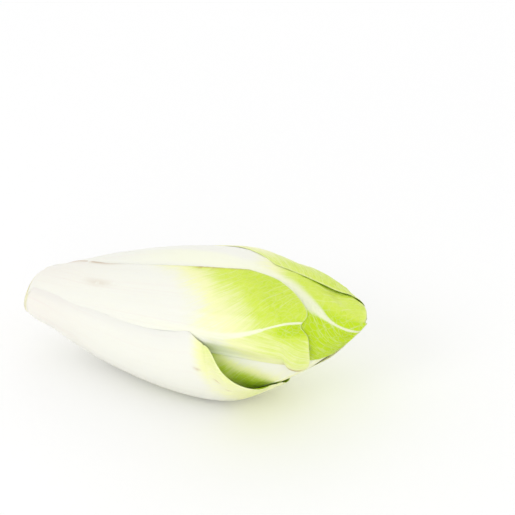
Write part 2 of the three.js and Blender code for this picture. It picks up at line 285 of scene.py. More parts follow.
@dataclass(frozen=True)
class Tint:
    """Where a leaf's green begins, how strong it gets and how wide its white rib is."""

    start: float = 70.0  # distance from the cut base, on the rib
    full: float = 135.0
    lead: float = 18.0  # how much sooner the high margin turns green
    low_lead: float = 18.0  # the same for the low margin
    outside: float = 0.8
    inside: float = 0.9
    low: float = 1.0  # the low half's green, as a share of the high half's
    band: tuple[float, float] = (7.0, 0.8)  # half width of the white rib, low down and at the tip
    narrows: tuple[float, float] = (-0.5, 0.4)  # where up the leaf the white rib narrows


@dataclass(frozen=True)
class Looseness:
    """How a leaf's margins leave what it lies on."""

    flare: float
    waves: float
    lift: float  # share of the plan's lift
    peel: tuple[float, float]  # where up the leaf a raised margin rises


LAID = Looseness(flare=0.9, waves=0.45, lift=1.0, peel=(-0.6, 0.5))
DRESSED = Looseness(flare=0.16, waves=0.2, lift=0.8, peel=(0.02, 0.42))


@dataclass(frozen=True)
class Mark:
    """A patch of a leaf that is browner than what is round it, or that carries painted green shade and
    light in a crevice.
    """

    x: float  # its place on the leaf's plane
    y: float
    across: float  # how far it reaches, in millimetres
    along: float
    # painted green, for the shade of a crevice and for light shining green through a leaf into a
    # shaded pocket
    green: float = 0.0
    brown: float = 0.0


@dataclass(frozen=True)
class Dress:
    """What the dressed leaf has beyond its plan."""

    tint: Tint = Tint()
    puff: float = 0.4  # how far its halves swell towards the tip
    crease: float = 0.15  # how deep the crease below its rib is, and how strongly painted shade greens it
    snug: tuple[float, float] = (0.8, 0.8)  # the most that its low and high margins are pressed down
    tip_held: float = 0.2  # how much of that its tip keeps
    veiled: bool = False  # whether its high margin is wide and thin, below where it rises
    sway: tuple[float, float] = (0.0, 0.0)  # how far the visible rib runs low, half way and at the tip
    swerve: tuple[float, float] = (100.0, 150.0)  # how far up the leaf it goes from one to the other
    short: float = 0.0  # how far its tip is drawn back
    pare: float = 0.0  # how much narrower its high half is towards the tip
    notch: float = 0.0  # how much narrower its low half is about its widest place
    foot: float = 0.4  # how much wider it is at its foot
    deep: float = 0.0  # how far its foot is drawn down to the cut
    hoist: float = 0.0  # how far its high half rises towards the tip
    filled: float = 0.0  # how far its high half swells below its widest place
    marks: tuple[Mark, ...] = ()


@dataclass(frozen=True)
class Plan:
    """What sets one leaf apart from the next.

    bearing is the rib's place round the head in degrees, 0 facing -Y and 90 facing up, and drift
    is how far the tip has turned from it. root and tip are distances from the cut base.
    """

    bearing: float
    drift: float
    root: float
    tip: float
    low: Half
    high: Half
    lift: float = 0.0  # raises the high half's margin off the head
    cleft: float = 0.0  # a nick in the tip
    dress: Dress = Dress()


OUTER_PLANS = (
    # The lower front leaf, whose high margin has peeled off the head
    Plan(-62, 0, 2, 118, Half(36, 74), Half(40, 94, 1.6), lift=8, dress=Dress(
        Tint(84, 130, 40, 20, outside=0.42, inside=1.3), puff=0, foot=0, filled=1, veiled=True,
        pare=0.24,
        marks=(Mark(0.68, -0.03, 0.6, 1.4, brown=0.5), Mark(0.6, 0.19, 0.5, 1.6, brown=0.5),
               Mark(0.5, 0.34, 0.5, 1.2, brown=0.4)))),
    # The leaf over the back and top
    Plan(168, 0, 0, 151, Half(31, 112, 1.15, 1), Half(34, 92, 1.6), dress=Dress(
        Tint(80, 145, 24, 24, outside=0.75, inside=1.1), snug=(2.4, 1.2), tip_held=1, short=1.5,
        foot=-0.3)),
    # The big front leaf with the nicked tip
    Plan(31, -8, 0, 133.5, Half(22, 124, 3, 1.9), Half(23.5, 105, 1.5), cleft=3, dress=Dress(
        Tint(77, 134, 26, -18, outside=1.0, inside=1.1, low=0.74, band=(5, 0.55),
             narrows=(-0.5, 0.1)),
        puff=0.9, crease=0.7, snug=(0.3, 1.2), sway=(6, -1), swerve=(104, 138), notch=0.2,
        marks=(Mark(1, -0.84, 1.5, 7, brown=1), Mark(1, -0.68, 1.1, 12, brown=0.7),
               Mark(1, -0.16, 1.3, 3, brown=1), Mark(1, -0.05, 0.8, 14, brown=0.5),
               Mark(-0.93, 0.25, 1.3, 3, brown=0.9), Mark(0.42, -0.6, 1.2, 7, brown=0.2)))),
    # The leaf at the back, on the underside
    Plan(-122, 0, 3, 150, Half(36, 88), Half(20, 84, 1.8), dress=Dress(
        Tint(86, 150, 16, 16, outside=0.5, inside=0.2), snug=(2.5, 2.5), tip_held=1, short=5)),
    # The leaf with the broad white rib on top, which makes the head's tip
    Plan(86, -56, 6, 151.5, Half(29, 90, 2.6), Half(32, 90, 2.6), dress=Dress(
        Tint(96, 134, 20, 14, outside=0.75, inside=1.1, low=1.8, band=(7, 0.7),
             narrows=(0.46, 0.8)),
        crease=0.3, short=-2.5, sway=(0, 4), swerve=(131, 157), deep=5, hoist=4,
        # Its green marks are painted shade in the crevice under the back leaf's margin
        marks=(Mark(0.4, 0.6, 3, 7, green=0.5), Mark(0.45, 0.75, 3, 7, green=0.5)))),
    # The whitish leaf at the lower right, whose green marks are painted green light shining through
    # the peeled margin into the shaded pocket behind it
    Plan(-50, 10, 9, 152, Half(33, 90), Half(33, 90), dress=Dress(
        Tint(100, 165, 10, 10, outside=0.22), deep=7,
        marks=(Mark(0.72, 0.05, 3, 6, green=0.7), Mark(0.55, 0.14, 3, 5, green=0.7),
               Mark(0.36, 0.22, 4, 5, green=0.75), Mark(0.16, 0.28, 6, 5, green=0.75),
               Mark(-0.1, 0.33, 8, 6, green=0.75)))),
)


@dataclass(frozen=True)
class Heart:
    """The inner leaves, each smaller and set higher on the stem along the growth spiral."""

    leaves: int = 8
    golden: float = 137.5
    drift: float = 20.0
    widths: tuple[float, float] = (32, 13)
    wide: float = 88.0
    roots: tuple[float, float] = (11, 35)
    tips: tuple[float, float] = (151, 123)

    def plans(self, bearing: float) -> list[Plan]:
        """Returns the inner leaves' plans, given the bearing of the last leaf outside them."""
        made = []
        for i in range(self.leaves):
            bearing -= self.golden
            youth = (i + 1) / self.leaves
            side = Half(lerp(*self.widths, youth), self.wide)
            made.append(Plan(bearing, self.drift, lerp(*self.roots, youth),
                             lerp(*self.tips, youth**2), side, side))
        return made


@dataclass
class LeafForm:
    """The shape of one leaf over its own plane.

    There x is -1 on the low margin, 0 on the rib and 1 on the high margin, and y is -1 at the
    foot, 0 at the widest place and 1 at the tip.
    """

    plan: Plan
    order: int
    count: int
    outline: Outline
    least_blade: float = 0.65
    blades: tuple[float, float, float] = (1.3, 0.9, 0.75)  # oldest, youngest, at the tip
    edge_thinning: float = 0.15
    ribs: tuple[float, float, float] = (1.8, 0.7, 0.3)
    rib_widths: tuple[float, float] = (9, 2.5)
    root_widths: tuple[float, float] = (9, 5)
    roomy_radius: float = 22.0
    narrowest_radius: float = 11.0
    widest_wrap: float = 2.65
    cleft_width: float = 0.12
    wave: float = 0.015  # share by which the width waves up the leaf
    phase_step: float = 1.7  # how far one leaf's waves are from the next one's
    veil_ends: tuple[float, float] = (-0.08, 0.02)
    veil_widening: float = 0.2
    veil_thinning: float = 0.7
    thin_margins: tuple[float, float] = (0.3, 0.55)
    least_fine: float = 0.12
    crease_place: tuple[float, float] = (-2.6, 1.7)  # across from the rib, and how far it reaches
    ridge: float = 0.3
    ridge_width: float = 0.8
    levels: tuple[float, float] = (0.93, 0.015)
    inner_levels: tuple[float, float] = (0.75, 0.09)
    level: float = field(init=False)
    youth: float = field(init=False)
    phase: float = field(init=False)

    def __post_init__(self) -> None:
        """Works out what follows from the leaf's place in the order."""
        inner = self.order - len(OUTER_PLANS)
        start, step = self.levels if inner < 0 else self.inner_levels
        self.level = start - step * (self.order if inner < 0 else inner)
        self.youth = self.order / (self.count - 1)
        self.phase = self.phase_step * self.order

    def of_side(self, x: Array, key: str) -> Array:
        """Returns a value of the half that each x is on."""
        return np.where(x < 0, getattr(self.plan.low, key), getattr(self.plan.high, key))

    def plane(self, a: Array, b: Array) -> tuple[Array, Array]:
        """Maps points of a square grid onto the leaf's plane.

        Args:
            a: from -1 to 1 across.
            b: from -1 at the foot to 1 at the tip.

        Returns:
            x and y, with straight sides to the widest place and a rounded end beyond it.
        """
        up = np.maximum(b, 0)
        x = a * np.sqrt(1 - up * up / 2)
        y = up * np.sqrt(1 - a * a / 2)
        size = np.maximum(np.hypot(x, y), 1e-9)
        n = self.of_side(x, "square")
        scale = ((np.abs(x) / size) ** n + (y / size) ** n) ** (-1 / n)
        return np.where(b > 0, x * scale, a), np.where(b > 0, y * scale, b)

    def share(self, x: Array, y: Array) -> Array:
        """Returns the share of the outline."""
        plan = self.plan
        place = lerp(plan.low.wide, plan.high.wide, smoothstep(x, -0.5, 0.5))
        wide = self.outline.share_at(place)
        nick = plan.cleft * bump(x, 0, self.cleft_width) * smoothstep(y, 0.5, 1)
        below = lerp(wide, self.outline.share_at(plan.root), -y)
        above = lerp(wide, self.outline.share_at(plan.tip - nick), y)
        return np.where(y < 0, below, above)

    def rib(self, t: Array) -> Array:
        """Returns the rib's bearing."""
        return np.radians(self.plan.bearing + self.plan.drift * t**5)

    def wrap(self, t: Array, x: Array, y: Array) -> Array:
        """Returns the angle round the head of the leaf's full half width."""
        root = lerp(*self.root_widths, self.youth)
        grown = lerp(root, self.of_side(x, "width"),
                     np.clip(1 + y, 0, 1) ** self.of_side(x, "slowness"))
        wavy = 1 + self.wave * np.sin(9 * y + self.phase + np.where(x < 0, 2, 0))
        narrowest = self.narrowest_radius * smoothstep(t, 0.2, 0.6)
        radius = np.maximum(self.outline.along(t, self.outline.r), narrowest)
        return np.minimum(self.widest_wrap, grown * wavy / (radius * max(self.level, 0.15)))

    def edge(self, x: Array, y: Array) -> Array:
        """Returns 1 on the leaf's edge and less within it."""
        n = self.of_side(x, "square")
        return np.where(y > 0, (np.abs(x) ** n + np.maximum(y, 0) ** n) ** (1 / n), np.abs(x))

    def from_rib(self, t: Array, x: Array, y: Array) -> Array:
        """Returns the distance across the leaf from its rib, below 0 on the low half."""
        return x * self.wrap(t, x, y) * self.outline.along(t, self.outline.r) * self.level

    def rib_share(self, t: Array, x: Array, y: Array) -> Array:
        """Returns 1 on the rib, fading to 0 beside it."""
        age = np.clip((y + 1) / 2, 0, 1)
        return bump(self.from_rib(t, x, y) / lerp(*self.rib_widths, age), 0, 1)

    def thickness(self, t: Array, x: Array, y: Array) -> Array:
        """Returns the leaf's thickness."""
        age = np.clip((y + 1) / 2, 0, 1)
        height = lerp(lerp(*self.ribs[:2], self.youth), self.ribs[2], age**0.8)
        thinned = self.edge_thinning * smoothstep(self.edge(x, y), 0.6, 1)
        blade = lerp(lerp(*self.blades[:2], self.youth), self.blades[2], age) - thinned
        tapered = smoothstep(y, -1.1, -0.8) if self.plan.root > 0 else 1.0
        crowded = np.clip(self.outline.along(t, self.outline.r) / self.roomy_radius, 0.45, 1)
        full = crowded * tapered * (blade + height * self.rib_share(t, x, y))
        return np.maximum(self.least_blade, full)

    def stand_off(self, x: Array, y: Array, loose: Looseness) -> Array:
        """Returns how far the leaf stands off what it lies on."""
        rim = smoothstep(self.edge(x, y), 0.72, 1) * smoothstep(y, -0.3, 0.5)
        waves = loose.waves * np.sin(6 * np.arctan2(y + 0.4, x) + self.phase)
        raised = self.plan.lift * loose.lift * smoothstep(x, 0, 0.9) * smoothstep(y, *loose.peel)
        return rim * (loose.flare * (1 - 0.5 * self.youth) + waves) + raised

    def swell(self, x: Array, y: Array) -> Array:
        """Returns how far the halves swell out between the rib and the margins."""
        within = np.sin(math.pi * np.clip(np.abs(x), 0, 1)) * (1 - smoothstep(self.edge(x, y), 0.7, 1))
        return self.plan.dress.puff * within * smoothstep(y, -0.5, 0.3)

    def hoisted(self, x: Array, y: Array) -> Array:
        """Returns how far the high half is raised, towards the tip and below the widest place."""
        dress = self.plan.dress
        middle = np.sin(math.pi * np.clip((x - 0.25) / 0.75, 0, 1))
        below = smoothstep(y, -0.95, -0.6) * (1 - smoothstep(y, -0.2, 0.1))
        above = smoothstep(x, 0, 0.8) * smoothstep(y, 0.25, 0.8)
        return dress.hoist * above + dress.filled * middle * below

    def veil(self, x: Array, y: Array) -> Array:
        """Returns 1 on a high margin that is wide and thin, fading to 0 round it."""
        if not self.plan.dress.veiled:
            return np.zeros_like(x)
        return smoothstep(x, 0, 0.5) * (1 - smoothstep(y, *self.veil_ends))

    def dressed_wrap(self, t: Array, x: Array, y: Array) -> Array:
        """Returns the angle round the head of the dressed leaf's full half width."""
        dress = self.plan.dress
        pared = 1 - dress.pare * smoothstep(x, 0, 0.5) * smoothstep(y, 0, 0.9)
        notched = 1 - dress.notch * smoothstep(-x, 0, 0.5) * bump(y, -0.1, 0.3)
        broad = 1 + dress.foot * (1 - smoothstep(y, -0.98, -0.6))
        veiled = 1 + self.veil_widening * self.veil(x, y)
        return self.wrap(t, x, y) * pared * notched * broad * veiled

    def from_visible_rib(self, t: Array, x: Array, y: Array) -> Array:
        """Returns the distance across the leaf from the rib that shows on it."""
        dress = self.plan.dress
        run = lerp(*dress.sway, smoothstep(t * self.outline.length, *dress.swerve))
        return self.from_rib(t, x, y) + run * smoothstep(y, -1, -0.4)

    def fine_thickness(self, t: Array, x: Array, y: Array) -> Array:
        """Returns the dressed leaf's thickness, with thin margins and a crease below the rib."""
        edge = self.edge(x, y)
        across = self.from_visible_rib(t, x, y)
        thin = lerp(*self.thin_margins, smoothstep(y, -0.5, 0.3))
        thin = thin * (1 - self.veil_thinning * self.veil(x, y))
        share = lerp(1, thin, smoothstep(edge, 0.6, 1))
        crease = self.plan.dress.crease * bump(across, *self.crease_place) * smoothstep(y, -0.1, 0.7)
        ridge = self.ridge * bump(across, 0, self.ridge_width) * smoothstep(y, -0.2, 0.5)
        return np.maximum(self.least_fine, self.thickness(t, x, y) * share - crease + ridge)


@dataclass
class Grid:
    """A leaf's nodes, from foot to tip down the first axis and across it down the second."""

    t: Array
    bearing: Array
    inner: Array
    thick: Array
    x: Array
    y: Array

    def over_facets(self, outline: Outline, depth: Array,
                    fineness: int) -> tuple[Array, Array, Array, Array]:
        """Looks at points all over the flat triangles between the nodes.

        Args:
            outline: the bud's outline.
            depth: the depth of each node.
            fineness: points along a cell's side, less one.

        Returns:
            The share, bearing and depth of each point, points by rows by cells across, and the
            four corners' weights of each point.
        """
        u, v = np.meshgrid(*[np.arange(fineness + 1) / fineness] * 2, indexing="ij")
        u, v = u.ravel(), v.ravel()
        zero = np.zeros_like(u)
        weights = np.where(v >= u, [1 - v, v - u, u, zero], [1 - u, zero, v, u - v])
        points = outline.upright(self.t, self.bearing, depth)
        mixed = np.einsum("ks,kjic->sjic", weights, np.stack(corners(points)))
        t = np.einsum("ks,kji->sji", weights, np.stack(corners(self.t)))
        off = mixed[..., 0] - outline.along(t, outline.foot)
        away = np.sqrt(off**2 + mixed[..., 1] ** 2 + mixed[..., 2] ** 2)
        bearing = np.arctan2(mixed[..., 2], mixed[..., 1])
        return t, bearing, away / outline.along(t, outline.reach), weights


def corners(values: Array) -> list[Array]:
    """Returns views of a grid's values at the four corners of every cell."""
    return [values[:-1, :-1], values[1:, :-1], values[1:, 1:], values[:-1, 1:]]


def refine(values: Array, factor: int) -> Array:
    """Puts smooth curves through a grid's nodes.

    Args:
        values: the grid.
        factor: how many cells each cell becomes, along both axes.

    Returns:
        The finer grid, with the given nodes among its own.
    """
    for _ in range(2):
        count = values.shape[0]
        place = np.arange((count - 1) * factor + 1) / factor
        cell = np.minimum(place.astype(int), count - 2)
        f = (place - cell)[:, None]
        spread = np.concatenate([[2 * values[0] - values[1]], values,
                                 [2 * values[-1] - values[-2]]])
        weights = (
            (-f + 2 * f**2 - f**3) / 2,
            (2 - 5 * f**2 + 3 * f**3) / 2,
            (f + 4 * f**2 - 3 * f**3) / 2,
            (-(f**2) + f**3) / 2,
        )
        values = sum(w * spread[cell + k] for k, w in enumerate(weights)).T
    return values


@dataclass
class StemForm:
    """The short stem that every leaf grows from."""

    radius: float = 6.5
    length: float = 40.0
    sides: int = 48
    rings: int = 24
    behind_cut: tuple[float, float] = (0.25, 0.45)
    rings_behind_cut: int = 5
    filling_ends: tuple[float, float] = (3.0, 9.0)
    filling: float = 3.0  # how far the flesh reaches out between the leaves' feet
    filling_lean: float = 1.6  # how much further it reaches to one side
    filling_bearing: float = math.radians(-80)

    def at(self, x: Array) -> Array:
        """Returns the stem's radius at a distance from the cut base."""
        return self.radius * np.sqrt(np.clip(1 - (x / self.length) ** 2, 0, 1))

    def filled(self, x: Array, turn: Array) -> Array:
        """Returns the radius with the flesh that fills the leaves' feet, just behind the cut."""
        within = smoothstep(x, *self.behind_cut) * (1 - smoothstep(x, *self.filling_ends))
        reach = self.filling + self.filling_lean * np.cos(turn - self.filling_bearing)
        return self.at(x) + within * reach


@dataclass
class Layer:
    """Lays one leaf over the leaves beneath it."""

    form: LeafForm
    bed: Bed
    stem: StemForm
    cells: tuple[int, int, int]  # across, from foot to widest place, from there to the tip
    gap: float = 0.45
    ease: float = 0.02
    fineness: int = 16
    rounds: int = 3
    grid: Grid = field(init=False)

    def nodes(self, factor: int = 1) -> tuple[Array, Array]:
        """Returns the plane's x and y at the grid's nodes, with each cell split factor times."""
        across, below, above = (n * factor for n in self.cells)
        a = np.linspace(-1, 1, across + 1)
        b = np.concatenate([np.linspace(-1, 0, below + 1)[:-1], np.linspace(0, 1, above + 1)])
        aa, bb = np.meshgrid(a, b)
        return self.form.plane(aa, bb)

    def place(self, x: Array, y: Array) -> tuple[Array, Array, Array]:
        """Returns the share, bearing and reach of points of the plane."""
        t = self.form.share(x, y)
        bearing = self.form.rib(t) + x * self.form.wrap(t, x, y)
        return t, bearing, self.bed.outline.along(t, self.bed.outline.reach)

    def lay(self) -> None:
        """Lays the leaf on the sheet, clears what is beneath and records its outside."""
        outline = self.bed.outline
        x, y = self.nodes()
        t, bearing, reach = self.place(x, y)
        on_leaves = self.bed.read(self.bed.sheet(), t, bearing) + self.gap / reach
        on_stem = (self.stem.at(outline.along(t, outline.foot)) + self.gap) / reach
        level = self.form.level
        eased = (on_leaves + level + np.hypot(on_leaves - level, self.ease)) / 2
        inner = np.maximum(eased, on_stem) + self.form.stand_off(x, y, LAID) / reach
        self.grid = Grid(t, bearing, inner, self.form.thickness(t, x, y) / reach, x, y)
        for _ in range(self.rounds):
            self.clear()
        outside = self.grid.inner + self.grid.thick
        self.bed.record(*self.grid.over_facets(outline, outside, self.fineness)[:3])

    def clear(self) -> None:
        """Raises nodes where the triangles between them dip into what lies beneath."""
        outline = self.bed.outline
        t, bearing, depth, weights = self.grid.over_facets(outline, self.grid.inner, self.fineness)
        reach = outline.along(t, outline.reach)
        short = self.bed.read(self.bed.laid, t, bearing) + self.gap / reach - depth
        raised = np.zeros_like(self.grid.inner)
        for corner, weight in zip(corners(raised), weights):
            np.maximum(corner, short[weight > 0].max(axis=0), out=corner)
        self.grid.inner = self.grid.inner + raised

    def resting(self) -> Array:
        """Returns the depths at which the leaf rests, without what lifts its margins."""
        grid, outline = self.grid, self.bed.outline
        lifted = self.form.stand_off(grid.x, grid.y, LAID)
        return grid.inner - lifted / outline.along(grid.t, outline.reach)


@dataclass
class Skin:
    """Fits the finer leaves closely on each other, from the heart outwards."""

    rows: int = 372
    columns: int = 540
    stiffness: float = 1.4
    gap: float = 0.06
    held: tuple[float, float] = (0.4, 0.95)
    flush_from: tuple[float, float] = (0.45, 0.98)
    flush_until: tuple[float, float] = (0.0, 0.1)
    most_flush: float = 3.0
    veil_sink: float = 0.5  # how far a veiled margin lies beneath the smooth sheet
    veil_sinks_from: float = 0.82
    veil_lies_from: float = 0.6  # the share of the veil from which nothing stands off
    tip_free: tuple[float, float] = (0.88, 0.97)  # the share of the bud from which little is pressed
    fineness: int = 3
    bed: Bed = field(init=False)

    def __post_init__(self) -> None:
        """Starts with nothing laid."""
        self.bed = Bed(Outline(rows=self.rows), self.columns, self.stiffness)

    def fit(self, layer: Layer, factor: int) -> Grid:
        """Refines a laid leaf and presses its margins on the leaves beneath.

        Args:
            layer: the laid leaf.
            factor: how many cells each of its cells becomes.

        Returns:
            The finer grid.
        """
        form, dress = layer.form, layer.form.plan.dress
        x, y = layer.nodes(factor)
        drawn = dress.short * smoothstep(y, 0, 1) + dress.deep * smoothstep(-y, 0.6, 1)
        t = form.share(x, y) - drawn / self.bed.outline.length
        bearing = form.rib(t) + x * form.dressed_wrap(t, x, y)
        reach = self.bed.outline.along(t, self.bed.outline.reach)
        resting = refine(layer.resting(), factor)
        beneath = self.bed.read(self.bed.sheet(), t, bearing) + self.gap / reach
        spare = np.maximum(0, resting - beneath) * reach
        free = lerp(1, dress.tip_held, smoothstep(t, *self.tip_free))
        low_down = 1 - smoothstep(y, *self.flush_until)
        most = free * lerp(*dress.snug, smoothstep(x, -0.2, 0.2))
        drop = most * np.tanh(spare / most) * smoothstep(form.edge(x, y), *self.held)
        room = np.where(x < 0, spare[:, :1], spare[:, -1:])
        sink = self.veil_sink * form.veil(x, y) * smoothstep(x, self.veil_sinks_from, 1)
        flush = np.minimum(room, self.most_flush) * smoothstep(np.abs(x), *self.flush_from) + sink
        pressed = resting - lerp(drop, flush, low_down) / reach
        clear = 1 - smoothstep(form.veil(x, y), 0, self.veil_lies_from)
        lifted = form.stand_off(x, y, DRESSED) * clear + form.swell(x, y) + form.hoisted(x, y)
        inner = np.maximum(pressed, beneath - sink / reach) + lifted / reach
        grid = Grid(t, bearing, inner, form.fine_thickness(t, x, y) / reach, x, y)
        outside = grid.inner + grid.thick
        self.bed.record(*grid.over_facets(self.bed.outline, outside, self.fineness)[:3])
        return grid


@dataclass
class Settling:
    """Where the laid head comes to rest, found from the leaves' own corners."""

    low: Array
    high: Array
    sink: float
    box_low: Array
    box_high: Array
    softness: float = 0.7

    def rest(self, points: Array) -> Array:
        """Puts points of the laid head in the frame, in millimetres."""
        middle = (self.low + self.high) / 2
        shift = np.array([middle[0], middle[1], self.low[2] + self.sink])
        return self.keep(points - shift)

    def keep(self, points: Array) -> Array:
        """Keeps points in the frame's box, eased in everywhere but on the flat underside."""
        over = np.minimum(0, self.box_high - points - self.softness)
        eased = np.where(over < 0, self.box_high - self.softness * np.exp(over / self.softness),
                         points)
        under = np.minimum(0, points - self.box_low - self.softness)
        raised = np.where(under < 0, self.box_low + self.softness * np.exp(under / self.softness),
                          eased)
        raised[..., 2] = eased[..., 2]
        return np.clip(raised, self.box_low, self.box_high)


class Face(Enum):
    """The two faces of a leaf."""

    OUTSIDE = 1
    INSIDE = 0


def shell_faces(rows: int, across: int) -> Array:
    """Returns the quads of a closed shell of two like sheets, joined round the rim.

    Args:
        rows: cells from foot to tip.
        across: cells across.

    Returns:
        Corner numbers, four a quad. The outside sheet's nodes come first.
    """
    index = np.arange((rows + 1) * (across + 1)).reshape(rows + 1, across + 1)
    size = index.size
    a, b, c, d = (v.ravel() for v in corners(index))
    outside = np.stack([a, b, c, d], axis=1)
    inside = size + np.stack([a, d, c, b], axis=1)
    rim = np.concatenate([index[0, :-1], index[:-1, -1], index[-1, :0:-1], index[:0:-1, 0]])
    after = np.roll(rim, -1)
    edge = np.stack([rim, after, size + after, size + rim], axis=1)
    return np.concatenate([outside, inside, edge])


def make_mesh(name: str, points: Array, faces: Sequence[Sequence[int]]) -> bpy.types.Mesh:
    """Makes a smooth-shaded mesh.

    Args:
        name: the mesh's name.
        points: places in metres.
        faces: corner numbers of each face.

    Returns:
        The mesh.
    """
    mesh = bpy.data.meshes.new(name)
    mesh.from_pydata([tuple(p) for p in points], [], [tuple(int(i) for i in f) for f in faces])
    mesh.shade_smooth()
    mesh.update()
    return mesh


def set_vectors(mesh: bpy.types.Mesh, name: str, values: Array) -> None:
    """Stores three numbers a vertex as a named attribute."""
    attribute = mesh.attributes.new(name, "FLOAT_VECTOR", "POINT")
    attribute.data.foreach_set("vector", np.ascontiguousarray(values, np.float32).ravel())


class Wiring:
    """Adds nodes to a tree and joins them up. It works on materials and on Geometry Nodes."""

    def __init__(self, tree: bpy.types.NodeTree) -> None:
        """Starts with an empty tree."""
        self.tree = tree
        tree.nodes.clear()

    def add(self, kind: str, inputs: dict | None = None, **settings: object) -> bpy.types.Node:
        """Adds a node.

        Args:
            kind: the node's type name.
            inputs: values or sockets for its inputs, by name or number.
            settings: the node's own properties.

        Returns:
            The node.
        """
        node = self.tree.nodes.new(kind)
        for key, value in settings.items():
            setattr(node, key, value)
        for key, value in (inputs or {}).items():
            self.feed(value, node.inputs[key])
        return node

    def feed(self, value: object, socket: bpy.types.NodeSocket) -> None:
        """Links a socket to another, or sets its value."""
        if isinstance(value, bpy.types.NodeSocket):
            self.tree.links.new(value, socket)
        else:
            socket.default_value = value

    def math(self, operation: str, *values: object) -> bpy.types.NodeSocket:
        """Returns the result of arithmetic on values or sockets."""
        node = self.add("ShaderNodeMath", dict(enumerate(values)), operation=operation)
        return node.outputs[0]

    def total(self, *terms: object) -> bpy.types.NodeSocket:
        """Returns the sum of values or sockets."""
        result = terms[0]
        for term in terms[1:]:
            result = self.math("ADD", result, term)
        return result

    def product(self, *terms: object) -> bpy.types.NodeSocket:
        """Returns the product of values or sockets."""
        result = terms[0]
        for term in terms[1:]:
            result = self.math("MULTIPLY", result, term)
        return result

    def ramp(self, value: object, low: float, high: float, start: float = 0.0,
             end: float = 1.0) -> bpy.types.NodeSocket:
        """Returns a smooth rise from start at low to end at high."""
        keys = {"Value": value, "From Min": low, "From Max": high, "To Min": start, "To Max": end}
        return self.add("ShaderNodeMapRange", keys, interpolation_type="SMOOTHSTEP").outputs[0]

    def vector(self, x: object, y: object, z: object = 0.0) -> bpy.types.NodeSocket:
        """Returns a vector of three values or sockets."""
        return self.add("ShaderNodeCombineXYZ", {0: x, 1: y, 2: z}).outputs[0]

    def split(self, vector: bpy.types.NodeSocket) -> list[bpy.types.NodeSocket]:
        """Returns a vector's three numbers."""
        return list(self.add("ShaderNodeSeparateXYZ", {0: vector}).outputs)

    def noise(self, place: object, scale: float, detail: float = 2.0,
              roughness: float = 0.5) -> bpy.types.NodeSocket:
        """Returns smooth noise round 0.5."""
        keys = {"Vector": place, "Scale": scale, "Detail": detail, "Roughness": roughness}
        return self.add("ShaderNodeTexNoise", keys).outputs[0]

    def mix(self, share: object, first: object, second: object) -> bpy.types.NodeSocket:
        """Returns a colour between two others."""
        node = self.add("ShaderNodeMix", data_type="RGBA")
        self.feed(share, node.inputs[0])
        self.feed(first, node.inputs[6])
        self.feed(second, node.inputs[7])
        return node.outputs[2]

    def surface(self, inputs: dict) -> None:
        """Ends a material's tree in a surface with the given inputs."""
        shader = self.add("ShaderNodeBsdfPrincipled", inputs)
        self.add("ShaderNodeOutputMaterial", {"Surface": shader.outputs[0]})


def new_material(name: str) -> tuple[bpy.types.Material, Wiring]:
    """Returns a new material and the wiring of its nodes."""
    material = bpy.data.materials.new(name)
    material.use_nodes = True
    return material, Wiring(material.node_tree)


@dataclass(frozen=True)
class Venation:
    """The side veins of a leaf, which leave the rib at a slant and curve up towards the tip."""

    spacing: float = 7.0  # along the rib
    slant: float = 1.9  # how far up a vein has run for each millimetre out from the rib
    width: float = 0.09  # share of the spacing
    stagger: float = 0.4
    wobble: float = 0.7

    def wire(self, w: Wiring, across: object, along: object, seed: object) -> bpy.types.NodeSocket:
        """Returns 1 on the veins, fading to 0 between them.

        Args:
            w: the tree.
            across: distance from the rib, below 0 on the low half.
            along: distance up the leaf.
            seed: a number that differs between leaves.

        Returns:
            The socket with the pattern.
        """
        aside = w.math("ABSOLUTE", across)
        run = w.math("MULTIPLY", aside, self.slant)
        side = w.product(w.math("SIGN", across), self.stagger)
        place = w.vector(across, along, seed)
        wobble = w.product(w.math("SUBTRACT", w.noise(place, 0.09, 1.0), 0.5), 2 * self.wobble)
        up = w.math("DIVIDE", w.math("SUBTRACT", along, run), self.spacing)
        off = w.math("PINGPONG", w.total(up, side, wobble), 0.5)
        return w.ramp(off, self.width, 0.0)


VEINS = Venation()
PLACE = "leaf_place"  # x and y of the leaf's plane, and 1 on its outside face
SPAN = "leaf_span"  # millimetres from the rib, millimetres up the leaf, and the leaf's own seed
TINT = "leaf_tint"  # greenness with its painted shade and painted light, closeness to the rib, closeness to the margin
WEAR = "leaf_wear"  # cut flesh, browning, fade of the relief


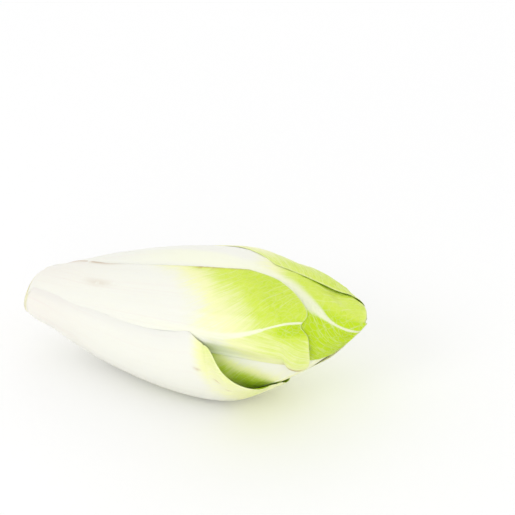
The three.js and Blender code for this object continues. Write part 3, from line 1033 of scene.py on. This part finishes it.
@dataclass(frozen=True)
class Relief:
    """The fine shape of a leaf's surface, as Geometry Nodes that lift its faces."""

    vein_height: float = 0.1
    pucker_height: float = 0.65
    pucker_size: float = 5.0
    furrow_height: float = 0.16

    def tree(self) -> bpy.types.NodeTree:
        """Returns the node group, with its sizes as named inputs."""
        tree = bpy.data.node_groups.new("leaf relief", "GeometryNodeTree")
        sockets = tree.interface
        sockets.new_socket("Geometry", in_out="OUTPUT", socket_type="NodeSocketGeometry")
        sockets.new_socket("Geometry", in_out="INPUT", socket_type="NodeSocketGeometry")
        for name in ("Vein height", "Pucker height", "Pucker size", "Furrow height"):
            sockets.new_socket(name, in_out="INPUT", socket_type="NodeSocketFloat")
        sockets.new_socket("Finish", in_out="INPUT", socket_type="NodeSocketMaterial")
        w = Wiring(tree)
        given = w.add("NodeGroupInput").outputs
        across, along, seed = w.split(self.attribute(w, SPAN))
        x, y, outside = w.split(self.attribute(w, PLACE))
        green = w.split(self.attribute(w, TINT))[0]
        fade = w.split(self.attribute(w, WEAR))[2]
        veins = VEINS.wire(w, across, along, seed)
        place = w.vector(across, w.math("MULTIPLY", along, 0.6), seed)
        scale = w.math("DIVIDE", 1.0, given["Pucker size"])
        blisters = w.add("ShaderNodeTexNoise", {"Vector": place, "Scale": scale, "Detail": 2.0})
        pucker = w.product(w.math("SUBTRACT", blisters.outputs[0], 0.5), 2.0,
                           given["Pucker height"], w.total(w.product(green, 0.85), 0.15))
        vein = w.product(veins, given["Vein height"], w.total(w.product(green, 0.8), 0.2))
        lines = w.noise(w.vector(w.product(x, 16.0), y, seed), 1.0, 3.0)
        furrow = w.product(w.math("SUBTRACT", lines, 0.5), 2.0, given["Furrow height"])
        height = w.product(w.total(pucker, vein, furrow), fade, METRE)
        facing = w.math("SUBTRACT", w.product(outside, 2.0), 1.0)
        normal = w.add("GeometryNodeInputNormal").outputs[0]
        lifted = w.add("ShaderNodeVectorMath", {0: normal}, operation="SCALE")
        w.feed(w.product(height, facing), lifted.inputs["Scale"])
        moved = w.add("GeometryNodeSetPosition",
                      {"Geometry": given["Geometry"], "Offset": lifted.outputs[0]})
        real = w.add("GeometryNodeRealizeInstances", {0: moved.outputs[0]})
        dressed = w.add("GeometryNodeSetMaterial",
                        {"Geometry": real.outputs[0], "Material": given["Finish"]})
        w.add("NodeGroupOutput", {0: dressed.outputs[0]})
        return tree

    @staticmethod
    def attribute(w: Wiring, name: str) -> bpy.types.NodeSocket:
        """Returns a named vector of the mesh."""
        node = w.add("GeometryNodeInputNamedAttribute", data_type="FLOAT_VECTOR")
        node.inputs["Name"].default_value = name
        return node.outputs["Attribute"]

    def press(self, piece: bpy.types.Object, tree: bpy.types.NodeTree,
              finish: bpy.types.Material) -> None:
        """Runs the relief on a piece and keeps the result as its plain mesh.

        Args:
            piece: the leaf.
            tree: the node group.
            finish: the leaf's material.
        """
        modifier = piece.modifiers.new("relief", "NODES")
        modifier.node_group = tree
        sizes = {"Vein height": self.vein_height, "Pucker height": self.pucker_height,
                 "Pucker size": self.pucker_size, "Furrow height": self.furrow_height,
                 "Finish": finish}
        for item in tree.interface.items_tree:
            if item.in_out == "INPUT" and item.name in sizes:
                modifier[item.identifier] = sizes[item.name]
        plain = bpy.data.meshes.new_from_object(
            piece.evaluated_get(bpy.context.evaluated_depsgraph_get()))
        piece.modifiers.remove(modifier)
        old = piece.data
        piece.data = plain
        bpy.data.meshes.remove(old)
        plain.name = piece.name


class LeafSurface:
    """A leaf's own values and the patterns on it, as sockets of a material."""

    def __init__(self, w: Wiring) -> None:
        """Reads the values and wires the patterns."""
        place, span, tint, wear = (
            w.split(w.add("ShaderNodeAttribute", attribute_name=name).outputs["Vector"])
            for name in (PLACE, SPAN, TINT, WEAR))
        self.w = w
        self.x, self.y, _ = place
        self.across, self.along, self.seed = span
        self.green, self.rib, self.margin = tint
        self.cut, self.browned, _ = wear
        self.where = w.vector(self.across, self.along, self.seed)
        self.veins = VEINS.wire(w, self.across, self.along, self.seed)
        run = w.product(w.math("ABSOLUTE", self.across), VEINS.slant)
        slanting = w.product(w.math("SUBTRACT", self.along, run), 0.9)
        self.fibres = w.noise(w.vector(w.product(self.across, 0.12), slanting, self.seed),
                              1.0, 3.0, 0.6)
        self.streaks = self.lengthwise(14.0, 0.9, 3.0, 0.6)
        self.ridges = self.lengthwise(60.0, 2.0, 2.0)
        self.clouds = w.noise(self.where, 0.07, 2.0)
        self.grain = w.noise(self.where, 1.6, 2.0)
        place = w.vector(self.across, w.product(self.along, 0.7), self.seed)
        net = w.add("ShaderNodeTexVoronoi", {"Vector": place, "Scale": 0.55},
                    feature="DISTANCE_TO_EDGE").outputs["Distance"]
        self.mesh = w.ramp(net, 0.1, 0.0)

    def lengthwise(self, across: float, along: float, detail: float,
                   roughness: float = 0.5) -> bpy.types.NodeSocket:
        """Returns noise drawn out along the leaf, with so many waves across it and along it."""
        w = self.w
        place = w.vector(w.product(self.x, across), w.product(self.y, along), self.seed)
        return w.noise(place, 1.0, detail, roughness)

    def patches(self, scale: float, detail: float, low: float, high: float) -> bpy.types.NodeSocket:
        """Returns patches, 0 where their noise is below low and 1 where it is above high."""
        return self.w.ramp(self.w.noise(self.where, scale, detail), low, high)

    def uneven(self, noise: bpy.types.NodeSocket, share: float) -> bpy.types.NodeSocket:
        """Returns a noise as a rise or fall round 0."""
        return self.w.product(self.w.math("SUBTRACT", noise, 0.5), share)


@dataclass(frozen=True)
class LeafFinish:
    """Waxy leaf flesh: white at the base, yellow-green towards the tips and margins."""

    flesh: tuple = linear(241, 241, 231)
    pale: tuple = linear(244, 246, 186)
    blade: tuple = linear(214, 234, 84)
    deep: tuple = linear(196, 226, 14)
    vein: tuple = linear(246, 248, 224)
    cut: tuple = linear(240, 236, 196)
    brown: tuple = linear(172, 126, 60)
    blush: tuple = linear(240, 232, 224)
    pale_over: tuple[float, float] = (0.0, 0.34)  # the greenness over which each green comes in
    blade_over: tuple[float, float] = (0.3, 0.85)
    deep_over: tuple[float, float] = (0.85, 1.3)
    blushing: float = 0.4
    mesh_share: float = 0.12
    vein_share: float = 0.32
    speck_share: float = 0.55
    # painted light along the thin margins, where light shines through the edge
    margin_glow: float = 0.4
    rib_share: float = 0.85
    roughness: float = 0.36
    uneven_shine: float = 0.25
    specular: float = 0.28
    translucency: float = 0.25
    depth: float = 0.0004

    def flushed(self, s: LeafSurface) -> bpy.types.NodeSocket:
        """Returns the ungreened flesh, blushed in streaks and at the foot."""
        w = s.w
        streaked = w.product(w.ramp(s.streaks, 0.5, 0.75), w.ramp(s.green, 0.25, 0.0))
        footed = w.product(w.ramp(s.y, -0.45, -0.95), w.ramp(s.x, -0.2, 0.6))
        share = w.product(w.total(streaked, footed), self.blushing)
        return w.mix(share, self.flesh, self.blush)

    def greened(self, s: LeafSurface, colour: bpy.types.NodeSocket) -> bpy.types.NodeSocket:
        """Returns the flesh with its greens, uneven where it turns green."""
        w = s.w
        unsure = w.product(s.green, w.math("SUBTRACT", 1.15, s.green), 1.6)
        shift = w.total(s.uneven(s.fibres, 1.0), s.uneven(s.streaks, 0.4), s.uneven(s.clouds, 1.1))
        tinted = w.math("ADD", s.green, w.product(shift, unsure))
        for green, over in ((self.pale, self.pale_over), (self.blade, self.blade_over),
                            (self.deep, self.deep_over)):
            colour = w.mix(w.ramp(tinted, *over), colour, green)
        return colour

    def veined(self, s: LeafSurface, colour: bpy.types.NodeSocket) -> bpy.types.NodeSocket:
        """Returns the colour with its veins, specks, painted light along the margin and white rib."""
        w = s.w
        colour = w.mix(w.product(s.mesh, s.green, self.mesh_share), colour, self.vein)
        veins = w.product(s.veins, s.patches(0.12, 2.0, 0.35, 0.65), w.ramp(s.green, 0.1, 0.7))
        colour = w.mix(w.product(veins, self.vein_share), colour, self.vein)
        specks = w.product(s.patches(0.45, 3.0, 0.56, 0.72), w.ramp(s.green, 0.5, 1.0))
        colour = w.mix(w.product(specks, self.speck_share), colour, self.deep)
        # painted light: the margin lightened where light shines through the thin edge
        lip = w.product(w.ramp(s.margin, 0.975, 1.0), s.green, self.margin_glow)
        colour = w.mix(lip, colour, self.vein)
        rib = w.product(w.ramp(s.rib, 0.35, 0.9, 0.0, self.rib_share), w.ramp(s.y, -0.6, -0.1))
        return w.mix(rib, colour, self.vein)

    def worn(self, s: LeafSurface, colour: bpy.types.NodeSocket) -> bpy.types.NodeSocket:
        """Returns the colour with the cut foot and the brown spots."""
        colour = s.w.mix(s.cut, colour, self.cut)
        blotch = s.w.product(s.browned, s.patches(0.25, 3.0, 0.25, 0.5))
        return s.w.mix(blotch, colour, self.brown)

    def bumped(self, s: LeafSurface) -> bpy.types.NodeSocket:
        """Returns the normal with the finest ridges, grain, net and fibres."""
        w = s.w
        height = w.total(w.product(s.ridges, 0.05), w.product(s.grain, 0.05, w.total(s.green, 0.2)),
                         w.product(s.mesh, -0.1, s.green), w.product(s.fibres, 0.6, s.green))
        keys = {"Height": height, "Strength": 0.6, "Distance": METRE}
        return w.add("ShaderNodeBump", keys).outputs[0]

    def make(self) -> bpy.types.Material:
        """Returns the material."""
        material, w = new_material("leaf flesh")
        s = LeafSurface(w)
        colour = self.worn(s, self.veined(s, self.greened(s, self.flushed(s))))
        shine = w.total(self.roughness, s.uneven(s.grain, self.uneven_shine))
        w.surface({
            "Base Color": colour, "Roughness": shine, "Normal": self.bumped(s),
            "Specular IOR Level": self.specular, "Subsurface Weight": self.translucency,
            "Subsurface Radius": (1.0, 1.0, 0.85), "Subsurface Scale": self.depth})
        return material


@dataclass(frozen=True)
class StemFinish:
    """Moist cut flesh with faint rings."""

    flesh: tuple = linear(244, 241, 208)
    ring: tuple = linear(228, 220, 168)
    roughness: float = 0.5
    translucency: float = 0.2
    depth: float = 0.002

    def make(self) -> bpy.types.Material:
        """Returns the material."""
        material, w = new_material("stem flesh")
        place = w.add("ShaderNodeTexCoord").outputs["Object"]
        fibres = w.noise(place, 900.0, 3.0)
        patches = w.noise(place, 220.0, 2.0)
        colour = w.mix(w.ramp(w.total(fibres, patches), 0.85, 1.3), self.flesh, self.ring)
        bumped = w.add("ShaderNodeBump", {"Height": fibres, "Strength": 0.4,
                                          "Distance": 0.3 * METRE})
        w.surface({
            "Base Color": colour, "Roughness": self.roughness, "Normal": bumped.outputs[0],
            "Subsurface Weight": self.translucency, "Subsurface Radius": (1.0, 0.9, 0.5),
            "Subsurface Scale": self.depth})
        return material


@dataclass
class Head:
    """The whole head: the stem and its leaves, laid from the heart outwards."""

    outline: Outline = field(default_factory=Outline)
    posture: Posture = Posture()
    stem: StemForm = field(default_factory=StemForm)
    heart: Heart = Heart()
    outer_cells: tuple[int, int, int] = (14, 8, 7)
    inner_cells: tuple[int, int, int] = (10, 6, 5)
    outer_factor: int = 9
    inner_factor: int = 5
    rim_start: float = 0.95
    rim_least: float = 0.2
    layers: list[Layer] = field(default_factory=list)
    grids: list[Grid] = field(default_factory=list)

    def lay_leaves(self) -> None:
        """Lays every leaf, the innermost first."""
        plans = [*OUTER_PLANS, *self.heart.plans(OUTER_PLANS[-1].bearing)]
        bed = Bed(self.outline)
        for order in reversed(range(len(plans))):
            cells = self.outer_cells if order < len(OUTER_PLANS) else self.inner_cells
            form = LeafForm(plans[order], order, len(plans), self.outline)
            layer = Layer(form, bed, self.stem, cells)
            layer.lay()
            self.layers.insert(0, layer)

    def fit_leaves(self) -> None:
        """Makes the finer leaves, the innermost first."""
        skin = Skin()
        for layer in reversed(self.layers):
            outer = layer.form.order < len(OUTER_PLANS)
            factor = self.outer_factor if outer else self.inner_factor
            self.grids.insert(0, self.rounded(layer.form, skin.fit(layer, factor)))

    def sheets(self, grid: Grid) -> tuple[Array, Array]:
        """Returns the points of a leaf's outside and inside sheets, in the laid head."""
        depths = (grid.inner + grid.thick, grid.inner)
        return tuple(self.posture.lay(self.outline.upright(grid.t, grid.bearing, depth))
                     for depth in depths)

    def settling(self, box: Sequence[Vector]) -> Settling:
        """Returns where the head comes to rest, in the frame's box."""
        points = np.concatenate([sheet.reshape(-1, 3) for layer in self.layers
                                 for sheet in self.sheets(layer.grid)]
                                + [self.stem_points().reshape(-1, 3)])
        box_low, box_high = (np.array(corner) / METRE for corner in box)
        return Settling(points.min(axis=0), points.max(axis=0), self.posture.sink,
                        box_low, box_high)

    def stem_points(self, filled: bool = False) -> Array:
        """Returns the stem's rings in the laid head, the first on the cut face.

        Args:
            filled: whether flesh fills the space between the leaves' feet.

        Returns:
            The points, rings by sides.
        """
        stem = self.stem
        x = stem.length * np.sin(math.pi / 2 * np.linspace(0, 1, stem.rings + 1))[:-1]
        if filled:
            x = np.concatenate([x[:1], np.linspace(*stem.behind_cut, stem.rings_behind_cut), x[1:]])
        turn = 2 * math.pi * np.arange(stem.sides) / stem.sides
        xx, turns = np.meshgrid(x, turn, indexing="ij")
        r = stem.filled(xx, turns) if filled else stem.at(xx)
        return self.posture.lay(np.stack([xx, r * np.cos(turns), r * np.sin(turns)], axis=-1))

    def rounded(self, form: LeafForm, grid: Grid) -> Grid:
        """Returns the grid with the blade thinned to a round lip at its margins."""
        edge = form.edge(grid.x, grid.y)
        out = np.clip((edge - self.rim_start) / (1 - self.rim_start), 0, 1)
        lip = np.maximum(np.sqrt(np.maximum(0, 1 - out**2)), self.rim_least)
        return Grid(grid.t, grid.bearing, grid.inner, grid.thick * lip, grid.x, grid.y)


@dataclass
class LeafDresser:
    """Makes the leaves' meshes and gives them the values that their finish reads."""

    head: Head
    settling: Settling
    relief: Relief = Relief()
    foot_cut: float = 0.015
    cut_through: float = 10.0  # leaves rooted below this distance from the base were cut
    seed_step: float = 7.3
    painted_crease_shade: tuple[float, float] = (-2.8, 2.6)  # painted shade in the crease below the rib: across from the rib, and how far it reaches

    def greenness(self, form: LeafForm, grid: Grid, face: Face) -> Array:
        """Returns how green each node is, from 0 to somewhat over 1 in the deepest places, with
        painted shade in the crease below the rib and the marks' painted green.
        """
        tint = form.plan.dress.tint
        along = self.head.outline.along(grid.t, self.head.outline.x)
        high = smoothstep(grid.x, -0.15, 0.15)
        place = along + lerp(tint.low_lead, tint.lead, high) * form.edge(grid.x, grid.y) ** 2
        strength = tint.outside if face is Face.OUTSIDE else tint.inside
        spread = strength * lerp(tint.low, 1.0, high) * smoothstep(place, tint.start, tint.full)
        across = form.from_visible_rib(grid.t, grid.x, grid.y)
        # painted shade: a deeper green in the crease below the rib
        crease_shade = form.plan.dress.crease * bump(across, *self.painted_crease_shade) * smoothstep(
            grid.y, 0, 0.5)
        unveiled = 1 - form.veil(grid.x, grid.y)
        return spread * unveiled + crease_shade + self.marked(form, grid, "green")

    def marked(self, form: LeafForm, grid: Grid, key: str) -> Array:
        """Returns how much of a mark's painted green or its brown each node has."""
        outline = self.head.outline
        total = np.zeros_like(grid.x)
        half_width = form.wrap(grid.t, grid.x, grid.y) * form.level * outline.along(
            grid.t, outline.r)
        for mark in form.plan.dress.marks:
            here = form.share(np.array([mark.x]), np.array([mark.y]))[0]
            aside = bump((grid.x - mark.x) * half_width, 0, mark.across)
            up = bump((grid.t - here) * outline.length, 0, mark.along)
            total += getattr(mark, key) * aside * up
        return total

    def band(self, form: LeafForm, grid: Grid) -> Array:
        """Returns 1 on the white rib, fading to 0 beside it."""
        tint = form.plan.dress.tint
        width = lerp(*tint.band, smoothstep(grid.y, *tint.narrows))
        return bump(form.from_visible_rib(grid.t, grid.x, grid.y) / width, 0, 1)

    def build(self, name: str, form: LeafForm, grid: Grid) -> bpy.types.Object:
        """Makes one leaf.

        Args:
            name: the piece's name.
            form: the leaf's form.
            grid: its nodes.

        Returns:
            The leaf's object, with no material yet.
        """
        outline = self.head.outline
        outside, inside = self.head.sheets(grid)
        points = np.concatenate([outside.reshape(-1, 3), inside.reshape(-1, 3)])
        rows, columns = (n - 1 for n in grid.t.shape)
        mesh = make_mesh(name, self.settling.rest(points) * METRE, shell_faces(rows, columns))
        edge = form.edge(grid.x, grid.y)
        rib = self.band(form, grid)
        seed = np.full_like(grid.x, self.seed_step * form.order)
        was_cut = form.plan.root < self.cut_through
        cut = smoothstep(grid.y, self.foot_cut - 1, -1) if was_cut else np.zeros_like(grid.x)
        fade = smoothstep(edge, 1.0, 0.93) * smoothstep(grid.y, -1.0, -0.85)
        browned = self.marked(form, grid, "brown")
        across = form.from_visible_rib(grid.t, grid.x, grid.y)
        span = np.stack([across, grid.t * outline.length, seed], -1)
        wear = np.stack([cut, browned, fade], -1)
        places, tints = [], []
        for face in Face:
            side = np.full_like(grid.x, face.value)
            places.append(np.stack([grid.x, grid.y, side], -1).reshape(-1, 3))
            green = self.greenness(form, grid, face)
            tints.append(np.stack([green, rib, edge], -1).reshape(-1, 3))
        set_vectors(mesh, PLACE, np.concatenate(places))
        set_vectors(mesh, TINT, np.concatenate(tints))
        set_vectors(mesh, SPAN, np.concatenate([span.reshape(-1, 3)] * 2))
        set_vectors(mesh, WEAR, np.concatenate([wear.reshape(-1, 3)] * 2))
        return add_object(name, mesh)

    def keep_in_box(self, mesh: bpy.types.Mesh) -> None:
        """Brings back what the relief has pushed out of the frame's box."""
        places = np.empty(3 * len(mesh.vertices), np.float32)
        mesh.vertices.foreach_get("co", places)
        low, high = self.settling.box_low * METRE, self.settling.box_high * METRE
        kept = np.clip(places.reshape(-1, 3), low, high)
        mesh.vertices.foreach_set("co", kept.astype(np.float32).ravel())
        mesh.update()


def add_object(name: str, data: bpy.types.ID) -> bpy.types.Object:
    """Adds an object at the origin of the scene."""
    made = bpy.data.objects.new(name, data)
    bpy.context.scene.collection.objects.link(made)
    return made


@dataclass
class StemDresser:
    """Makes the stem's mesh."""

    head: Head
    settling: Settling

    def build(self, name: str) -> bpy.types.Object:
        """Makes the stem, closed by its cut face and its growing point."""
        rings = self.head.stem_points(filled=True)
        axis = np.array([[0.0, 0.0, 0.0], [self.head.stem.length, 0.0, 0.0]])
        base, point = self.head.posture.lay(axis)
        points = np.concatenate([[base], rings.reshape(-1, 3), [point]])
        count, sides = rings.shape[:2]
        last = len(points) - 1
        faces = []
        for side in range(sides):
            after = (side + 1) % sides
            faces.append((0, 1 + after, 1 + side))
            for ring in range(count - 1):
                low, high = 1 + ring * sides, 1 + (ring + 1) * sides
                faces.append((low + side, low + after, high + after, high + side))
            top = 1 + (count - 1) * sides
            faces.append((top + side, top + after, last))
        return add_object(name, make_mesh(name, self.settling.rest(points) * METRE, faces))


@dataclass(frozen=True)
class Lamp:
    """A large soft lamp that faces the object, with its angles in degrees."""

    name: str
    azimuth: float
    elevation: float
    away: float
    size: float
    power: float


LAMPS = (
    Lamp("key", -14, 36, away=1.5, size=0.6, power=2.15),
    Lamp("fill", 20, 8, away=1.6, size=1.3, power=2.8),
    Lamp("back", 190, 34, away=1.6, size=1.5, power=1.6),
)


@dataclass(frozen=True)
class Studio:
    """The camera, the lights and the floor."""

    azimuth: float = 24.0
    elevation: float = 30.0
    distance: float = 0.8
    aim: tuple[float, float, float] = (0.0197, 0.0225, 0.0537)
    angle: float = 15.1
    floor_size: float = 6.0
    floor_shade: tuple = (0.98, 0.98, 0.98, 1.0)
    sky: float = 0.93

    def towards(self, azimuth: float, elevation: float) -> Vector:
        """Returns the direction from the object to something seen at those angles."""
        a, e = math.radians(azimuth), math.radians(elevation)
        return Vector((math.sin(a) * math.cos(e), -math.cos(a) * math.cos(e), math.sin(e)))

    def camera(self) -> None:
        """Places the camera."""
        data = bpy.data.cameras.new("camera")
        data.angle = math.radians(self.angle)
        made = add_object("camera", data)
        back = self.towards(self.azimuth, self.elevation)
        made.location = Vector(self.aim) + back * self.distance
        made.rotation_euler = (-back).to_track_quat("-Z", "Y").to_euler()
        bpy.context.scene.camera = made

    def light(self, lamp: Lamp) -> None:
        """Adds a lamp."""
        data = bpy.data.lights.new(lamp.name, "AREA")
        data.shape = "DISK"
        data.size = lamp.size
        data.energy = lamp.power
        made = add_object(lamp.name, data)
        back = self.towards(lamp.azimuth, lamp.elevation)
        made.location = back * lamp.away
        made.rotation_euler = (-back).to_track_quat("-Z", "Y").to_euler()

    def floor(self) -> None:
        """Adds the plain pale floor."""
        half = self.floor_size / 2
        corners = [(-half, -half, 0), (half, -half, 0), (half, half, 0), (-half, half, 0)]
        made = add_object("floor", make_mesh("floor", np.array(corners), [(0, 1, 2, 3)]))
        material, w = new_material("floor")
        w.surface({"Base Color": self.floor_shade, "Roughness": 0.9, "Specular IOR Level": 0.1})
        made.data.materials.append(material)
        made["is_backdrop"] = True

    def build(self) -> None:
        """Sets up everything round the object."""
        scene = bpy.context.scene
        scene.view_settings.view_transform = "Standard"
        world = bpy.data.worlds.new("studio")
        scene.world = world
        world.use_nodes = True
        w = Wiring(world.node_tree)
        sky = w.add("ShaderNodeBackground", {"Color": (1.0, 1.0, 1.0, 1.0), "Strength": self.sky})
        w.add("ShaderNodeOutputWorld", {"Surface": sky.outputs[0]})
        for lamp in LAMPS:
            self.light(lamp)
        self.floor()
        self.camera()


def build_head(box: Sequence[Vector]) -> None:
    """Builds every piece and hangs it on the frame.

    Args:
        box: the frame's lowest and highest corners.
    """
    head = Head()
    head.lay_leaves()
    head.fit_leaves()
    settling = head.settling(box)
    leaf_finish = LeafFinish().make()
    dresser = LeafDresser(head, settling)
    tree = dresser.relief.tree()
    for order, (layer, grid) in enumerate(zip(head.layers, head.grids)):
        inner = order - len(OUTER_PLANS)
        kind, number = ("outer", order + 1) if inner < 0 else ("inner", inner + 1)
        node = f"{kind}_leaf_{number}"
        piece = dresser.build(f"{node}_blade", layer.form, grid)
        dresser.relief.press(piece, tree, leaf_finish)
        dresser.keep_in_box(piece.data)
        hang(piece, node)
    stem = StemDresser(head, settling).build("stem_flesh")
    stem.data.materials.append(StemFinish().make())
    hang(stem, "stem")


def hang(piece: bpy.types.Object, node: str) -> None:
    """Puts a piece in the place of a CAD node."""
    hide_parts(node)
    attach(piece, ROOT)
    log.info("%s stands for %s, %d faces", piece.name, node, len(piece.data.polygons))


def main() -> None:
    """Builds the scene."""
    logging.basicConfig(level=logging.INFO, format="%(name)s: %(message)s")
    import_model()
    frame_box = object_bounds()
    Studio().build()
    build_head(frame_box)


if __name__ == "__main__":
    main()
